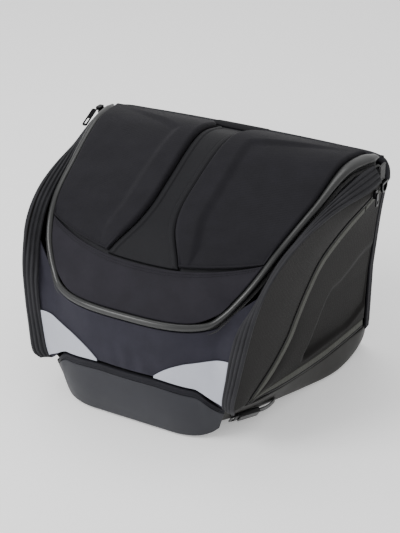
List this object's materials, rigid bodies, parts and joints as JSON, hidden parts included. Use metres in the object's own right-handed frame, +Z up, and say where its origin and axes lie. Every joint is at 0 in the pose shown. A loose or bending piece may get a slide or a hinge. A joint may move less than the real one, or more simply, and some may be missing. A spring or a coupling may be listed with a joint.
{
  "type": "motorcycle tail bag",
  "caption": "Wedge-shaped semi-rigid tail bag with a zipped hinged lid, zipped side pockets, moulded tail bumper, reflective patches, carry handle and mounting buckles.",
  "frame": {"origin": "centre of the bounding box at the underside, where the bag rests", "axes": "+Z up, -Y to the narrow low tail end, +Y to the tall flat rider side, +X to the rider's right"},
  "size_m": [0.4264, 0.3388, 0.3086],
  "materials": {
    "fabric": "matt ballistic weave",
    "tail_fabric": "matt fine weave",
    "band": "matt smooth",
    "piping": "satin",
    "moulded": "semi-matt, finely grained",
    "bumper": "satin",
    "reflective": "satin, silver-grey",
    "webbing": "ribbed weave",
    "zip": "coated",
    "plastic": "semi-matt",
    "metal": "satin black",
    "under_pad": "matt, high grip",
    "board": "matt",
    "lining": "matt",
    "base": "semi-matt"
  },
  "bodies": {
    "bag": {"anti_slip_pad": "under_pad", "base_board": "board", "base_tray": "base", "buckle_socket_rider_left": "plastic", "buckle_socket_rider_right": "plastic", "buckle_socket_tail_left": "plastic", "buckle_socket_tail_right": "plastic", "handle_anchor_left": "webbing", "handle_anchor_right": "webbing", "hinge_strip": "webbing", "main_zip_tape": "zip", "mount_strap_rider_left": "webbing", "mount_strap_rider_right": "webbing", "mount_strap_tail_left": "webbing", "mount_strap_tail_right": "webbing", "pocket_post_left": "fabric", "pocket_post_right": "fabric", "pocket_wall_left": "lining", "pocket_wall_right": "lining", "pocket_zip_tape_left": "zip", "pocket_zip_tape_right": "zip", "reflective_patch_left": "reflective", "reflective_patch_right": "reflective", "rider_board": "board", "rider_panel": "fabric", "ring_tab_left": "webbing", "ring_tab_right": "webbing", "tail_bumper": "bumper", "tail_panel": "tail_fabric", "wing_side_left": "moulded", "wing_side_right": "moulded", "wing_strip_front_left": "fabric", "wing_strip_front_right": "fabric", "wing_strip_top_left": "fabric", "wing_strip_top_right": "fabric"},
    "lid": {"lid_shell": "lining", "lid_pad_right": "fabric", "lid_pad_left": "fabric", "centre_band": "band", "lid_apron": "fabric", "lid_piping": "piping", "lid_zip_tape": "zip"},
    "pocket_flap_right": {"pocket_flap_right": "moulded", "pocket_wedge_right": "moulded"},
    "pocket_flap_left": {"pocket_flap_left": "moulded", "pocket_wedge_left": "moulded"},
    "carry_handle": {"carry_handle": "webbing"},
    "main_zip_slider": {"main_zip_slider": "metal"},
    "main_zip_puller": {"main_zip_puller": "metal"},
    "pocket_zip_slider_right": {"pocket_zip_slider_right": "metal"},
    "pocket_zip_slider_left": {"pocket_zip_slider_left": "metal"},
    "pocket_zip_puller_right": {"pocket_zip_puller_right": "metal"},
    "pocket_zip_puller_left": {"pocket_zip_puller_left": "metal"},
    "d_ring_right": {"d_ring_right": "metal"},
    "d_ring_left": {"d_ring_left": "metal"},
    "buckle_insert_tail_right": {"buckle_insert_tail_right": "plastic"},
    "buckle_insert_tail_left": {"buckle_insert_tail_left": "plastic"},
    "buckle_insert_rider_right": {"buckle_insert_rider_right": "plastic"},
    "buckle_insert_rider_left": {"buckle_insert_rider_left": "plastic"}
  },
  "joints": [
    {"name": "lid_hinge", "type": "hinge", "parent": "bag", "child": "lid", "pos_m": [0, 0.151, 0.287], "axis": [-1, 0, 0], "range_deg": [0, 100]},
    {"name": "main_zip", "type": "slide", "parent": "bag", "child": "main_zip_slider", "axis": [0.2039, -0.9789, -0.0082], "range_m": [0, 0.05]},
    {"name": "main_puller_hinge", "type": "hinge", "parent": "main_zip_slider", "child": "main_zip_puller", "pos_m": [-0.2094, 0.1148, 0.2897], "axis": [-1, 0, 0], "range_deg": [0, 100]},
    {"name": "handle_hinge", "type": "hinge", "parent": "bag", "child": "carry_handle", "pos_m": [0, 0.167, 0.236], "axis": [1, 0, 0], "range_deg": [0, 100]},
    {"name": "pocket_flap_right_hinge", "type": "hinge", "parent": "bag", "child": "pocket_flap_right", "pos_m": [0.20125, 0.141, 0.145], "axis": [0.0552, 0, 0.9985], "range_deg": [0, 70]},
    {"name": "pocket_zip_right", "type": "slide", "parent": "bag", "child": "pocket_zip_slider_right", "axis": [-0.2159, -0.9013, -0.3755], "range_m": [0, 0.09]},
    {"name": "pocket_puller_right_hinge", "type": "hinge", "parent": "pocket_zip_slider_right", "child": "pocket_zip_puller_right", "pos_m": [0.2123, 0.1016, 0.2577], "axis": [0, -1, 0], "range_deg": [0, 90]},
    {"name": "d_ring_right_hinge", "type": "hinge", "parent": "bag", "child": "d_ring_right", "pos_m": [0.2111, 0.128, 0.2634], "axis": [0, -1, 0], "range_deg": [0, 90]},
    {"name": "buckle_tail_right_release", "type": "slide", "parent": "bag", "child": "buckle_insert_tail_right", "axis": [-0.6704, -0.7328, -0.1163], "range_m": [0, 0.012]},
    {"name": "buckle_rider_right_release", "type": "slide", "parent": "bag", "child": "buckle_insert_rider_right", "axis": [1, -0.0026, 0], "range_m": [0, 0.012]},
    {"name": "pocket_flap_left_hinge", "type": "hinge", "parent": "bag", "child": "pocket_flap_left", "pos_m": [-0.20125, 0.141, 0.145], "axis": [0.0552, 0, -0.9985], "range_deg": [0, 70]},
    {"name": "pocket_zip_left", "type": "slide", "parent": "bag", "child": "pocket_zip_slider_left", "axis": [0.2159, -0.9013, -0.3755], "range_m": [0, 0.09]},
    {"name": "pocket_puller_left_hinge", "type": "hinge", "parent": "pocket_zip_slider_left", "child": "pocket_zip_puller_left", "pos_m": [-0.2123, 0.1016, 0.2577], "axis": [0, 1, 0], "range_deg": [0, 90]},
    {"name": "d_ring_left_hinge", "type": "hinge", "parent": "bag", "child": "d_ring_left", "pos_m": [-0.2111, 0.128, 0.2634], "axis": [0, 1, 0], "range_deg": [0, 90]},
    {"name": "buckle_tail_left_release", "type": "slide", "parent": "bag", "child": "buckle_insert_tail_left", "axis": [0.6704, -0.7328, -0.1163], "range_m": [0, 0.012]},
    {"name": "buckle_rider_left_release", "type": "slide", "parent": "bag", "child": "buckle_insert_rider_left", "axis": [-1, -0.0026, 0], "range_m": [0, 0.012]}
  ]
}
